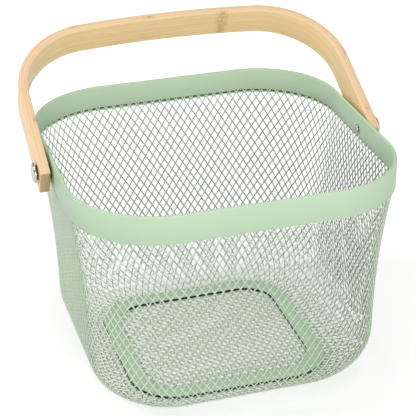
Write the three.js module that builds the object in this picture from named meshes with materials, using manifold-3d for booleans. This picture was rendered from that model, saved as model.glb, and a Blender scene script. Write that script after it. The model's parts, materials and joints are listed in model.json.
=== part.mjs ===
// Mesh storage basket: a tapered tub of diamond mesh in a folded steel rim, with a flat steel ring in its
// floor and a bent bamboo handle that swings on two pivot screws. Millimetres, +Z up, front towards -Y.
// The origin is the middle of the underside.

import * as THREE from 'three';
import { mergeVertices } from 'three/addons/utils/BufferGeometryUtils.js';
import Module from 'manifold-3d';

// Overall size, over the outside of the rim
const RIM_WIDTH = 245;
const RIM_DEPTH = 240;
const HEIGHT = 180;
const RIM_CORNER = 66;

// Rim: one strip of sheet folded over the top edge of the mesh
const RIM_OUTER_LEAF = 21.5;
const RIM_INNER_LEAF = 18;
const RIM_SHEET = 0.7;

// Diamond mesh: strands with a flat outer face and a ridge towards the inside
const STRAND_WIDTH = 2.2;
const STRAND_DEPTH = 1.2;
const SIDE_COLUMNS = 7;
const CORNER_COLUMNS = 5;
const WALL_HALF_ROWS = 9;
const BEND_HALF_ROWS = 4;
const MESH_TUCK = 6;

// Tub profile, measured inwards from the outside of the rim
const WALL_INSET = 11;
const FLARE_HEIGHT = 100;
const BEND_RADIUS = 35;

// Flat ring in the floor
const RING_INSET = 43.5;
const RING_CORNER = 37.5;
const RING_BAND = 13.3;
const RING_SHEET = 1.2;
const FLOOR_UNDER_RING = 3;
const FLOOR_PITCH = 18;
const FLOOR_ROW = 30;

// Bamboo handle: a flat strip bent to a wide arch
const HANDLE_STRIP = 23.5;
const HANDLE_THICK = 7.5;
const HANDLE_REACH = 131.5;
const HANDLE_CORNER = 62;
const HANDLE_CROWN = 850;
const HANDLE_TAIL = 11;
const HANDLE_TAIL_CORNER = 2.5;
const HANDLE_LEAN = 64;

// Pivots, one on each side
const PIVOT_DROP = 12;
const SHANK_DIAMETER = 4;
const SHANK_PLAY = 0.35;
const HEAD_DIAMETER = 15.5;
const HEAD_RISE = 2.8;
const HEAD_RIM = 0.6;
const HEAD_WASHER_DIAMETER = 11;
const HEAD_WASHER = 1;
const SPACER_DIAMETER = 12;
const SPACER = 1.5;
const NUT_DIAMETER = 9;
const NUT_RISE = 3.4;
const NUT_FLANGE = 1;
const NUT_DEPTH = 2;

// Clearance between neighbours that touch
const GAP = 0.3;

// Facets on round stretches
const CORNER_STEPS = 10;
const ROUND_STEPS = 14;
const DOME_STEPS = 4;
const BORE_STEPS = 16;
const HANDLE_BEND_STEPS = 12;
const HANDLE_CROWN_STEPS = 8;
const TAIL_STEPS = 3;

const wasm = await Module();
wasm.setup();

const paint = new THREE.MeshStandardMaterial({ color: 0xb9cfb2, roughness: 0.5, metalness: 0 });
const bamboo = new THREE.MeshStandardMaterial({ color: 0xe0c08f, roughness: 0.45, metalness: 0 });
const steel = new THREE.MeshStandardMaterial({ color: 0xc7c4bb, roughness: 0.28, metalness: 1 });

const basket = new THREE.Group();

function addPiece(group, name, geometry, material) {
  const piece = new THREE.Mesh(geometry, material);
  piece.name = name;
  group.add(piece);
  return piece;
}

// A geometry with nothing but its corners, each of them kept once
function joined(geometry) {
  const bare = geometry.index ? geometry.toNonIndexed() : geometry.clone();
  bare.deleteAttribute('normal');
  bare.deleteAttribute('uv');
  return mergeVertices(bare, 1e-4);
}

// A closed geometry as a solid that can be joined and cut
function solidOf(geometry) {
  const merged = joined(geometry);
  const vertProperties = new Float32Array(merged.attributes.position.array);
  const triVerts = new Uint32Array(merged.index.array);
  return new wasm.Manifold(new wasm.Mesh({ numProp: 3, vertProperties, triVerts }));
}

function geometryOf(solid) {
  const mesh = solid.getMesh();
  const geometry = new THREE.BufferGeometry();
  geometry.setAttribute('position', new THREE.BufferAttribute(new Float32Array(mesh.vertProperties), 3));
  geometry.setIndex(new THREE.BufferAttribute(new Uint32Array(mesh.triVerts), 1));
  return geometry;
}

function geometryFrom(points, triangles) {
  const geometry = new THREE.BufferGeometry().setFromPoints(points);
  geometry.setIndex(triangles.flat());
  return geometry;
}

// Outlines of the tub: rounded rectangles set in from the outside of the rim

function cornerRadius(inset) {
  const taper = (RIM_CORNER - RING_CORNER) / RING_INSET;
  return RIM_CORNER - taper * inset;
}

// A point on the outline at this inset. The turn runs from 0 to 4, one unit for each side with the corner
// after it, counter-clockwise from the right-hand side, and sideShare is the part of a unit that is flat.
function outlinePoint(inset, turn, sideShare) {
  const radius = cornerRadius(inset);
  const flatX = RIM_WIDTH / 2 - inset - radius;
  const flatY = RIM_DEPTH / 2 - inset - radius;
  const side = Math.floor(turn) % 4;
  const along = turn - Math.floor(turn);
  const halves = side % 2 === 0 ? [flatX, flatY] : [flatY, flatX];
  const point = new THREE.Vector2();
  if (along < sideShare) {
    point.set(halves[0] + radius, halves[1] * (2 * along / sideShare - 1));
  } else {
    const angle = Math.PI / 2 * (along - sideShare) / (1 - sideShare);
    point.set(halves[0] + radius * Math.cos(angle), halves[1] + radius * Math.sin(angle));
  }
  return point.rotateAround(new THREE.Vector2(), side * Math.PI / 2);
}

function outlineLoop(inset) {
  const loop = [];
  for (let side = 0; side < 4; side += 1) {
    for (let step = 0; step <= CORNER_STEPS; step += 1) {
      loop.push(outlinePoint(inset, side + 0.5 + 0.5 * step / CORNER_STEPS, 0.5));
    }
  }
  return loop;
}

// A closed section of (inset, height) points carried once round the tub
function sweepRound(section) {
  const points = [];
  const triangles = [];
  section.forEach(([inset, height]) => {
    outlineLoop(inset).forEach((p) => points.push(new THREE.Vector3(p.x, p.y, height)));
  });
  const count = points.length / section.length;
  for (let k = 0; k < section.length; k += 1) {
    const here = k * count;
    const next = ((k + 1) % section.length) * count;
    for (let i = 0; i < count; i += 1) {
      const after = (i + 1) % count;
      triangles.push([here + i, here + after, next + after]);
      triangles.push([here + i, next + after, next + i]);
    }
  }
  return geometryFrom(points, triangles);
}

// A round bar along X between two places
function barAlongX(diameter, from, to, height, steps) {
  const bar = new THREE.CylinderGeometry(diameter / 2, diameter / 2, Math.abs(to - from), steps);
  bar.rotateZ(Math.PI / 2);
  bar.translate((from + to) / 2, 0, height);
  return bar;
}

const pivotHeight = HEIGHT - PIVOT_DROP;
const boreDiameter = SHANK_DIAMETER + 2 * SHANK_PLAY;

// Rim: the fold over the mesh edge, with a hole through both leaves at each pivot

const rimSlot = STRAND_DEPTH + 2 * GAP;
const rimThick = 2 * RIM_SHEET + rimSlot;

function makeRim() {
  const foot = HEIGHT - RIM_OUTER_LEAF;
  const innerFoot = HEIGHT - RIM_INNER_LEAF;
  const ease = RIM_SHEET;
  const section = [
    [0, foot],
    [0, HEIGHT - ease],
    [ease, HEIGHT],
    [rimThick - ease, HEIGHT],
    [rimThick, HEIGHT - ease],
    [rimThick, innerFoot],
    [rimThick - RIM_SHEET, innerFoot],
    [rimThick - RIM_SHEET, HEIGHT - RIM_SHEET],
    [RIM_SHEET, HEIGHT - RIM_SHEET],
    [RIM_SHEET, foot],
  ];
  const bores = solidOf(barAlongX(boreDiameter, -RIM_WIDTH, RIM_WIDTH, pivotHeight, BORE_STEPS));
  return geometryOf(solidOf(sweepRound(section)).subtract(bores));
}

addPiece(basket, 'rim_band', makeRim(), paint);

// Mesh wall: diamonds laid out in half columns round the tub and half rows down its profile

const floorEdge = RING_INSET + RING_BAND - FLOOR_UNDER_RING;
const profile = new THREE.Path();
const meshInset = RIM_SHEET + GAP;
const rimFoot = HEIGHT - RIM_OUTER_LEAF;
profile.moveTo(meshInset, rimFoot + MESH_TUCK);
profile.lineTo(meshInset, rimFoot);
profile.quadraticCurveTo(WALL_INSET, FLARE_HEIGHT, WALL_INSET, BEND_RADIUS);
profile.absarc(WALL_INSET + BEND_RADIUS, BEND_RADIUS, BEND_RADIUS, Math.PI, 1.5 * Math.PI, false);
profile.lineTo(floorEdge - 2 * GAP, 0);

const unitColumns = SIDE_COLUMNS + CORNER_COLUMNS;
const halfColumns = 8 * unitColumns;
const sideShare = SIDE_COLUMNS / unitColumns;
const profileLength = profile.getLength();
const wallLength = profile.getCurveLengths()[1];
const halfRows = WALL_HALF_ROWS + BEND_HALF_ROWS;

// Length down the profile at a place given in half rows
function runAt(row) {
  const below = Math.max(row - WALL_HALF_ROWS, 0) / BEND_HALF_ROWS;
  const above = Math.min(row, WALL_HALF_ROWS) / WALL_HALF_ROWS;
  return above * wallLength + below * (profileLength - wallLength);
}

function halfRowHeight(row) {
  const from = Math.max(row - 1, 0);
  const to = Math.min(row + 1, halfRows);
  return (runAt(to) - runAt(from)) / (to - from);
}

// A point of the mesh: column in half columns, row in half rows, depth inwards from the flat outer face
function meshPoint(column, row, depth) {
  const share = THREE.MathUtils.clamp(runAt(row) / profileLength, 0, 1);
  const place = profile.getPointAt(share);
  const along = profile.getTangentAt(share);
  const inset = place.x - along.y * depth;
  const height = place.y + along.x * depth;
  const turn = THREE.MathUtils.euclideanModulo(column / (2 * unitColumns), 4);
  const base = outlinePoint(place.x, turn, sideShare);
  const beside = outlinePoint(place.x + 1, turn, sideShare);
  const inwards = beside.sub(base).normalize();
  return new THREE.Vector3(base.x, base.y, height).add(
    new THREE.Vector3(inwards.x, inwards.y, 0).multiplyScalar(inset - place.x));
}

function halfColumnWidth(column, row) {
  return meshPoint(column - 0.5, row, 0).distanceTo(meshPoint(column + 0.5, row, 0));
}

// The corners of a diamond, clockwise seen from outside, as steps in half columns and half rows
const CORNERS = [[0, -1], [1, 0], [0, 1], [-1, 0]];

// One panel of the mesh from its list of whole diamonds. Neighbouring diamonds share a strand, and the
// strands on the panel's edge are split along their middle, with a clearance to the next panel.
function meshPanel(cells) {
  const points = [];
  const triangles = [];
  const numbers = new Map();
  const keyOf = (column, row) => `${THREE.MathUtils.euclideanModulo(column, halfColumns)},${row}`;
  const held = new Set(cells.map(([column, row]) => keyOf(column, row)));
  const has = (column, row) => held.has(keyOf(column, row));

  function number(key, make) {
    if (!numbers.has(key)) {
      numbers.set(key, points.length);
      points.push(make());
    }
    return numbers.get(key);
  }

  // Corner of a diamond's opening, on the outer face
  function opening(cell, corner) {
    const [column, row] = cell;
    return number(`opening ${keyOf(column, row)} ${corner}`, () => {
      const across = halfColumnWidth(column, row);
      const high = halfRowHeight(row);
      const inner = across * high / Math.hypot(across, high);
      const share = 1 - STRAND_WIDTH / 2 / inner;
      const [right, down] = CORNERS[corner];
      return meshPoint(column + right * share, row + down * share, 0);
    });
  }

  // Crossing of two strands, moved half a clearance into the panel where it lies on the panel's edge
  function crossing(cell, corner, depth) {
    const column = cell[0] + CORNERS[corner][0];
    const row = cell[1] + CORNERS[corner][1];
    return number(`crossing ${keyOf(column, row)} ${depth}`, () => {
      const pull = new THREE.Vector2();
      CORNERS.filter(([right, down]) => has(column + right, row + down))
        .forEach(([right, down]) => pull.add(new THREE.Vector2(right, down)));
      pull.normalize().multiplyScalar(pull.length() > 0 ? GAP / Math.SQRT2 : 0);
      const across = halfColumnWidth(column, row);
      return meshPoint(column + pull.x / across, row + pull.y / halfRowHeight(row), depth);
    });
  }

  function isInside(column, row) {
    return CORNERS.every(([right, down]) => has(column + right, row + down));
  }

  function quad(a, b, c, d) {
    triangles.push([a, b, c], [a, c, d]);
  }

  cells.forEach((cell) => {
    const [column, row] = cell;
    for (let corner = 0; corner < 4; corner += 1) {
      const next = (corner + 1) % 4;
      const [rightA, downA] = CORNERS[corner];
      const [rightB, downB] = CORNERS[next];
      const openA = opening(cell, corner);
      const openB = opening(cell, next);
      const ridgeA = crossing(cell, corner, STRAND_DEPTH);
      const ridgeB = crossing(cell, next, STRAND_DEPTH);
      quad(openB, openA, ridgeA, ridgeB);

      const beyond = [column + rightA + rightB, row + downA + downB];
      if (!has(...beyond)) {
        const edgeA = crossing(cell, corner, 0);
        const edgeB = crossing(cell, next, 0);
        quad(openA, openB, edgeB, edgeA);
        quad(edgeA, edgeB, ridgeB, ridgeA);
        continue;
      }
      // The strand to the neighbour is laid once, from the upper diamond
      const facingA = opening(beyond, (corner + 3) % 4);
      const facingB = opening(beyond, (corner + 2) % 4);
      if (downA + downB > 0) {
        quad(openA, openB, facingB, facingA);
      }
      if (!isInside(column + rightA, row + downA)) {
        triangles.push([openA, facingA, crossing(cell, corner, 0)]);
      }
    }
    if (isInside(column, row + 1)) {
      const below = opening([column, row + 2], 0);
      quad(opening(cell, 2), opening([column - 1, row + 1], 1), below, opening([column + 1, row + 1], 3));
    }
  });
  return geometryFrom(points, triangles);
}

const SIDES = ['right', 'back', 'left', 'front'];
const CORNER_NAMES = ['back_right', 'back_left', 'front_left', 'front_right'];

function panelName(column, row) {
  const unit = Math.floor(column / 2 / unitColumns);
  const local = column / 2 - unit * unitColumns;
  const level = row < WALL_HALF_ROWS ? 'mesh' : 'mesh_bend';
  if (local > SIDE_COLUMNS) return `${level}_corner_${CORNER_NAMES[unit]}`;
  return row < WALL_HALF_ROWS + BEND_HALF_ROWS / 2 ? `${level}_${SIDES[unit]}` : `mesh_foot_${SIDES[unit]}`;
}

const panels = new Map();
for (let row = 1; row < halfRows; row += 1) {
  for (let column = 0; column < halfColumns; column += 1) {
    const isDiamond = (column + row + SIDE_COLUMNS) % 2 === 0;
    if (!isDiamond) continue;
    const name = panelName(column, row);
    if (!panels.has(name)) panels.set(name, []);
    panels.get(name).push([column, row]);
  }
}
panels.forEach((cells, name) => addPiece(basket, name, meshPanel(cells), paint));

// Floor: a flat sheet of the same mesh inside the ring, with its plain edge under the ring

function roundedPlate(inset, from, to) {
  const plate = new THREE.Shape(outlineLoop(inset));
  const geometry = new THREE.ExtrudeGeometry(plate, { depth: to - from, bevelEnabled: false });
  geometry.translate(0, 0, from);
  return geometry;
}

function diamond(x, y) {
  const long = Math.hypot(FLOOR_PITCH, FLOOR_ROW);
  const across = FLOOR_PITCH / 2 - STRAND_WIDTH / 2 * long / FLOOR_ROW;
  const along = FLOOR_ROW / 2 - STRAND_WIDTH / 2 * long / FLOOR_PITCH;
  const shape = new THREE.Shape();
  shape.moveTo(across, 0);
  shape.lineTo(0, along);
  shape.lineTo(-across, 0);
  shape.lineTo(0, -along);
  shape.closePath();
  const prism = new THREE.ExtrudeGeometry(shape, { depth: 3 * STRAND_DEPTH, bevelEnabled: false });
  prism.translate(x, y, -STRAND_DEPTH);
  return prism;
}

function makeFloor() {
  const open = floorEdge + STRAND_WIDTH;
  const halfX = RIM_WIDTH / 2 - open;
  const halfY = RIM_DEPTH / 2 - open;
  let openings = null;
  for (let row = -Math.ceil(2 * halfY / FLOOR_ROW); row <= 2 * halfY / FLOOR_ROW; row += 1) {
    const y = row * FLOOR_ROW / 2;
    const shift = row % 2 === 0 ? 0.5 : 0;
    for (let step = -Math.ceil(halfX / FLOOR_PITCH) - 1; step <= halfX / FLOOR_PITCH + 1; step += 1) {
      const x = (step + shift) * FLOOR_PITCH;
      if (Math.abs(x) > halfX || Math.abs(y) > halfY) continue;
      const hole = solidOf(diamond(x, y));
      openings = openings ? openings.add(hole) : hole;
    }
  }
  const window = solidOf(roundedPlate(open, -STRAND_DEPTH, 2 * STRAND_DEPTH));
  const sheet = solidOf(roundedPlate(floorEdge, 0, STRAND_DEPTH));
  return geometryOf(sheet.subtract(openings.intersect(window)));
}

addPiece(basket, 'mesh_floor', makeFloor(), paint);

// Base ring: a flat strip that lies on the mesh and joins wall and floor

// Height of the last wall strands where they pass under the ring's outer edge
function strandRise() {
  const above = profile.getPointAt(runAt(halfRows - 1) / profileLength);
  const end = profile.getPointAt(1);
  return above.y * Math.min((end.x - RING_INSET) / (end.x - above.x), 1);
}

function makeRing() {
  const under = strandRise() + STRAND_DEPTH + GAP;
  const over = under + RING_SHEET;
  const inside = RING_INSET + RING_BAND;
  return sweepRound([[RING_INSET, under], [RING_INSET, over], [inside, over], [inside, under]]);
}

addPiece(basket, 'base_ring', makeRing(), paint);

// Pivots, from the band outwards: spacer, handle leg, washer and screw head, with a domed nut inside

const spacerFrom = RIM_WIDTH / 2 + GAP;
const legFrom = spacerFrom + SPACER + GAP;
const legTo = legFrom + HANDLE_THICK;
const washerFrom = legTo + GAP;
const headFrom = washerFrom + HEAD_WASHER + GAP;
const nutFrom = RIM_WIDTH / 2 - rimThick - GAP;

// A turned piece whose section is given as (radius, distance outwards) points
function turned(section, steps) {
  const geometry = new THREE.LatheGeometry(section.map(([r, out]) => new THREE.Vector2(r, out)), steps);
  geometry.rotateZ(-Math.PI / 2);
  return joined(geometry);
}

// A low dome from a rim of this radius up to its top on the axis
function domePoints(radius, from, rise) {
  const points = [];
  for (let step = 0; step <= DOME_STEPS; step += 1) {
    const angle = Math.PI / 2 * step / DOME_STEPS;
    points.push([step === DOME_STEPS ? 0 : radius * Math.cos(angle), from + rise * Math.sin(angle)]);
  }
  return points;
}

function makeScrew() {
  const tip = nutFrom - NUT_DEPTH + GAP;
  const shank = SHANK_DIAMETER / 2;
  const section = [
    [0, tip],
    [shank, tip],
    [shank, headFrom],
    [HEAD_DIAMETER / 2, headFrom],
    ...domePoints(HEAD_DIAMETER / 2, headFrom + HEAD_RIM, HEAD_RISE - HEAD_RIM),
  ];
  return turned(section, ROUND_STEPS);
}

function makeWasher(diameter, from, thick) {
  const bore = boreDiameter / 2;
  const section = [
    [bore, from],
    [diameter / 2, from],
    [diameter / 2, from + thick],
    [bore, from + thick],
    [bore, from],
  ];
  return turned(section, ROUND_STEPS);
}

function makeNut() {
  const bore = boreDiameter / 2;
  const dome = domePoints(NUT_DIAMETER / 2, NUT_FLANGE, NUT_RISE - NUT_FLANGE);
  const section = [
    [0, nutFrom - NUT_DEPTH],
    [bore, nutFrom - NUT_DEPTH],
    [bore, nutFrom],
    [NUT_DIAMETER / 2, nutFrom],
    ...dome.map(([r, deep]) => [r, nutFrom - deep]),
  ];
  return turned(section.reverse(), ROUND_STEPS);
}

for (const side of ['right', 'left']) {
  const pivot = new THREE.Group();
  pivot.position.z = pivotHeight;
  pivot.rotation.z = side === 'right' ? 0 : Math.PI;
  addPiece(pivot, `pivot_screw_${side}`, makeScrew(), steel);
  addPiece(pivot, `head_washer_${side}`, makeWasher(HEAD_WASHER_DIAMETER, washerFrom, HEAD_WASHER), steel);
  addPiece(pivot, `spacer_washer_${side}`, makeWasher(SPACER_DIAMETER, spacerFrom, SPACER), steel);
  addPiece(pivot, `dome_nut_${side}`, makeNut(), steel);
  basket.add(pivot);
}

// Handle: the arch lies in its own plane, with the legs down to the pivots, and leans back on them

// One side of the strip: leg, bend, crown, bend and leg, this far outwards from the strip's middle
function archLine(offset) {
  const leg = (legFrom + legTo) / 2;
  const crownCentre = HANDLE_REACH - HANDLE_CROWN;
  const lean = Math.asin((leg - HANDLE_CORNER) / (HANDLE_CROWN - HANDLE_CORNER));
  const bendX = leg - HANDLE_CORNER;
  const bendY = crownCentre + (HANDLE_CROWN - HANDLE_CORNER) * Math.cos(lean);
  const bend = HANDLE_CORNER + offset;
  const crown = HANDLE_CROWN + offset;
  const points = [new THREE.Vector2(leg + offset, -HANDLE_TAIL)];
  for (let step = 0; step <= HANDLE_BEND_STEPS; step += 1) {
    const angle = (Math.PI / 2 - lean) * step / HANDLE_BEND_STEPS;
    points.push(new THREE.Vector2(bendX + bend * Math.cos(angle), bendY + bend * Math.sin(angle)));
  }
  for (let step = 1; step < HANDLE_CROWN_STEPS; step += 1) {
    const angle = lean * (1 - 2 * step / HANDLE_CROWN_STEPS);
    points.push(new THREE.Vector2(crown * Math.sin(angle), crownCentre + crown * Math.cos(angle)));
  }
  const mirrored = points.slice(0, HANDLE_BEND_STEPS + 2).reverse();
  return [...points, ...mirrored.map((p) => new THREE.Vector2(-p.x, p.y))];
}

function makeHandle() {
  const outer = archLine(HANDLE_THICK / 2);
  const inner = archLine(-HANDLE_THICK / 2);
  const arch = new THREE.ExtrudeGeometry(new THREE.Shape([...outer, ...inner.reverse()]), {
    depth: HANDLE_STRIP,
    bevelEnabled: false,
  });
  arch.translate(0, 0, -HANDLE_STRIP / 2);

  // Side view of the strip with rounded tail corners, carried across the whole width
  const half = HANDLE_STRIP / 2;
  const radius = Math.min(HANDLE_TAIL_CORNER, half);
  const side = new THREE.Shape();
  side.moveTo(-half, 2 * HANDLE_REACH);
  side.lineTo(-half, radius - HANDLE_TAIL);
  side.absarc(radius - half, radius - HANDLE_TAIL, radius, Math.PI, 1.5 * Math.PI, false);
  side.lineTo(half - radius, -HANDLE_TAIL);
  side.absarc(half - radius, radius - HANDLE_TAIL, radius, 1.5 * Math.PI, 2 * Math.PI, false);
  side.lineTo(half, 2 * HANDLE_REACH);
  const across = new THREE.ExtrudeGeometry(side, {
    depth: 4 * legTo,
    bevelEnabled: false,
    curveSegments: TAIL_STEPS,
  });
  across.translate(0, 0, -2 * legTo);
  across.rotateY(-Math.PI / 2);

  const bores = solidOf(barAlongX(boreDiameter, -2 * legTo, 2 * legTo, 0, BORE_STEPS));
  return geometryOf(solidOf(arch).intersect(solidOf(across)).subtract(bores));
}

const handleFrame = new THREE.Group();
handleFrame.position.z = pivotHeight;
handleFrame.rotation.x = THREE.MathUtils.degToRad(90 - HANDLE_LEAN);
addPiece(handleFrame, 'handle', makeHandle(), bamboo);
basket.add(handleFrame);

export default basket;
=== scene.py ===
"""Looks of a mesh storage basket with a bent bamboo handle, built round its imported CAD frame.

Each sub-assembly is a class that holds its sizes in millimetres, builds its meshes with bmesh operators and
dresses them. Every mesh is written in metres, in the frame of the CAD model.
"""

from __future__ import annotations

import json
import logging
import math
from dataclasses import dataclass, field
from enum import Enum
from functools import cached_property

import bmesh
import bpy
from mathutils import Matrix, Vector

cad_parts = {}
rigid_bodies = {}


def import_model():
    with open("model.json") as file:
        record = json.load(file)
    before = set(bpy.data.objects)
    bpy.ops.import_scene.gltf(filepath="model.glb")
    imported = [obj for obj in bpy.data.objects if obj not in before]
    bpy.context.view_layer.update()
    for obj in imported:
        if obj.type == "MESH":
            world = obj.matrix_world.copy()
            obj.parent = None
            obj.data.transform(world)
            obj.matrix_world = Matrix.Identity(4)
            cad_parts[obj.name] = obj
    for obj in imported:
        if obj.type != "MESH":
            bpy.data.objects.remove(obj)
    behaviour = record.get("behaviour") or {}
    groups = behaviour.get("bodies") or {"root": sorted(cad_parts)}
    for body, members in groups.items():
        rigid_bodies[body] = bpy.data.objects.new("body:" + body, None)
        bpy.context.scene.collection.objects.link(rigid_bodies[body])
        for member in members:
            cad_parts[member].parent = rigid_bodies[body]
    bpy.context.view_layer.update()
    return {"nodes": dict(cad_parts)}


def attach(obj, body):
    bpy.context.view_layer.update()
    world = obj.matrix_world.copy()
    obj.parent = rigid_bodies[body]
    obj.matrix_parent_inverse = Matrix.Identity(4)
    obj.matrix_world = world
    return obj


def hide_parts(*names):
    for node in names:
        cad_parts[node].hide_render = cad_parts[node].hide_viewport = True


log = logging.getLogger("basket")

MM = 0.001
Colour = tuple[float, float, float]


class Body(Enum):
    """Moving bodies of the CAD model that pieces ride on."""

    BASKET = "basket"
    HANDLE = "handle"


class Slot(Enum):
    """Material slots of the record."""

    PAINT = "sage_paint"
    BAMBOO = "bamboo"
    STEEL = "steel"


class Side(Enum):
    """The two sides that carry a pivot, as the sign of X."""

    LEFT = -1
    RIGHT = 1


def linear(red: int, green: int, blue: int) -> tuple[float, float, float, float]:
    """Turn a colour in screen values into the linear colour that a shader takes.

    Args:
        red: Red from 0 to 255.
        green: Green from 0 to 255.
        blue: Blue from 0 to 255.

    Returns:
        Linear red, green and blue with full alpha.
    """
    shades = []
    for value in (red, green, blue):
        share = value / 255
        shades.append(share / 12.92 if share <= 0.04045 else ((share + 0.055) / 1.055) ** 2.4)
    return (shades[0], shades[1], shades[2], 1.0)


@dataclass
class NodeSheet:
    """A node tree with short ways to add and join its nodes."""

    tree: bpy.types.NodeTree

    def add(self, kind: str, **settings: object) -> bpy.types.Node:
        """Add a node of this kind and set the named properties on it."""
        node = self.tree.nodes.new(kind)
        for name, value in settings.items():
            setattr(node, name, value)
        return node

    def join(self, source: bpy.types.NodeSocket, target: bpy.types.NodeSocket) -> None:
        """Link an output socket to an input socket."""
        self.tree.links.new(source, target)

    def feed(self, socket: bpy.types.NodeSocket, value: object) -> None:
        """Give an input socket a link, where the value is an output socket, or else a plain value."""
        if isinstance(value, bpy.types.NodeSocket):
            self.join(value, socket)
        else:
            socket.default_value = value

    def maths(self, operation: str, first: object, second: object = 0.0) -> bpy.types.NodeSocket:
        """Add a Math node on one or two sockets or plain numbers and return its result."""
        node = self.add("ShaderNodeMath", operation=operation)
        self.feed(node.inputs[0], first)
        self.feed(node.inputs[1], second)
        return node.outputs[0]

    def noise(self, vector: bpy.types.NodeSocket, scale: float, detail: float = 3.0) -> bpy.types.NodeSocket:
        """Add a noise texture on these coordinates and return its value."""
        node = self.add("ShaderNodeTexNoise")
        node.inputs["Scale"].default_value = scale
        node.inputs["Detail"].default_value = detail
        self.join(vector, node.inputs["Vector"])
        return node.outputs["Fac"]

    def stretch(self, vector: bpy.types.NodeSocket, scale: Colour) -> bpy.types.NodeSocket:
        """Scale coordinates along each axis and return them."""
        node = self.add("ShaderNodeMapping")
        node.inputs["Scale"].default_value = scale
        self.join(vector, node.inputs["Vector"])
        return node.outputs["Vector"]

    def ramp(
        self, value: bpy.types.NodeSocket, low: float, high: float, to_low: float, to_high: float
    ) -> bpy.types.NodeSocket:
        """Carry a value from one range to another, held at the ends.

        Args:
            value: Value that is carried.
            low: Value that becomes to_low.
            high: Value that becomes to_high.
            to_low: Result at and before low.
            to_high: Result at and beyond high.

        Returns:
            The result's socket.
        """
        node = self.add("ShaderNodeMapRange")
        for name, number in (("From Min", low), ("From Max", high), ("To Min", to_low), ("To Max", to_high)):
            node.inputs[name].default_value = number
        self.join(value, node.inputs["Value"])
        return node.outputs["Result"]

    def mix(self, share: object, first: object, second: object) -> bpy.types.NodeSocket:
        """Mix two colours, given as sockets or values, and return the result."""
        node = self.add("ShaderNodeMix", data_type="RGBA")
        self.feed(node.inputs[0], share)
        self.feed(node.inputs[6], first)
        self.feed(node.inputs[7], second)
        return node.outputs[2]


def surface_grain_group() -> bpy.types.NodeTree:
    """Build the shared group that gives a coated or polished surface its fine unevenness.

    Returns:
        A group with the inputs Vector, Cloud Scale and Grain Scale and the outputs Cloud and Grain.
    """
    name = "surface_grain"
    if name in bpy.data.node_groups:
        return bpy.data.node_groups[name]
    group = bpy.data.node_groups.new(name, "ShaderNodeTree")
    group.interface.new_socket("Vector", in_out="INPUT", socket_type="NodeSocketVector")
    group.interface.new_socket("Cloud Scale", in_out="INPUT", socket_type="NodeSocketFloat")
    group.interface.new_socket("Grain Scale", in_out="INPUT", socket_type="NodeSocketFloat")
    group.interface.new_socket("Cloud", in_out="OUTPUT", socket_type="NodeSocketFloat")
    group.interface.new_socket("Grain", in_out="OUTPUT", socket_type="NodeSocketFloat")
    sheet = NodeSheet(group)
    inputs = sheet.add("NodeGroupInput")
    outputs = sheet.add("NodeGroupOutput")
    for scale, detail, target in (("Cloud Scale", 2.0, "Cloud"), ("Grain Scale", 4.0, "Grain")):
        noise = sheet.add("ShaderNodeTexNoise")
        noise.inputs["Detail"].default_value = detail
        sheet.join(inputs.outputs["Vector"], noise.inputs["Vector"])
        sheet.join(inputs.outputs[scale], noise.inputs["Scale"])
        sheet.join(noise.outputs["Fac"], outputs.inputs[target])
    return group


@dataclass(frozen=True)
class CoatFinish:
    """A plain opaque or metal surface: an even colour with fine clouding, a faint grain in its gloss, and
    optional painted shade tones on marked faces.
    """

    name: str
    colour: tuple[int, int, int]
    shade: tuple[int, int, int]
    roughness: float
    bump: float
    roughness_spread: float = 0.06
    metallic: float = 0.0
    specular: float = 0.3
    cloud_scale: float = 9.0
    grain_scale: float = 900.0
    # Painted shade: darker tones mixed over the faces that the face attributes of the same names mark.
    hollow: tuple[int, int, int] | None = None
    flank: tuple[int, int, int] | None = None

    def material(self) -> bpy.types.Material:
        """Build the material once and return it."""
        if self.name in bpy.data.materials:
            return bpy.data.materials[self.name]
        material = bpy.data.materials.new(self.name)
        material.use_nodes = True
        sheet = NodeSheet(material.node_tree)
        shader = material.node_tree.nodes["Principled BSDF"]
        shader.inputs["Metallic"].default_value = self.metallic
        shader.inputs["Specular IOR Level"].default_value = self.specular
        place = sheet.add("ShaderNodeTexCoord")
        grain = sheet.add("ShaderNodeGroup", node_tree=surface_grain_group())
        grain.inputs["Cloud Scale"].default_value = self.cloud_scale
        grain.inputs["Grain Scale"].default_value = self.grain_scale
        sheet.join(place.outputs["Object"], grain.inputs["Vector"])
        cloud = sheet.ramp(grain.outputs["Cloud"], 0.3, 0.7, 0.0, 1.0)
        coat = sheet.mix(cloud, linear(*self.colour), linear(*self.shade))
        # Mix in the painted shade tones where the face attributes mark them.
        for attribute, tone in (("hollow", self.hollow), ("flank", self.flank)):
            if tone is not None:
                share = sheet.add("ShaderNodeAttribute", attribute_name=attribute)
                coat = sheet.mix(share.outputs["Fac"], coat, linear(*tone))
        sheet.join(coat, shader.inputs["Base Color"])
        smooth, rough = self.roughness - self.roughness_spread, self.roughness + self.roughness_spread
        gloss = sheet.ramp(grain.outputs["Grain"], 0.3, 0.7, smooth, rough)
        sheet.join(gloss, shader.inputs["Roughness"])
        bump = sheet.add("ShaderNodeBump")
        bump.inputs["Strength"].default_value = self.bump
        bump.inputs["Distance"].default_value = 0.05 * MM
        sheet.join(grain.outputs["Grain"], bump.inputs["Height"])
        sheet.join(bump.outputs["Normal"], shader.inputs["Normal"])
        return material


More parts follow.
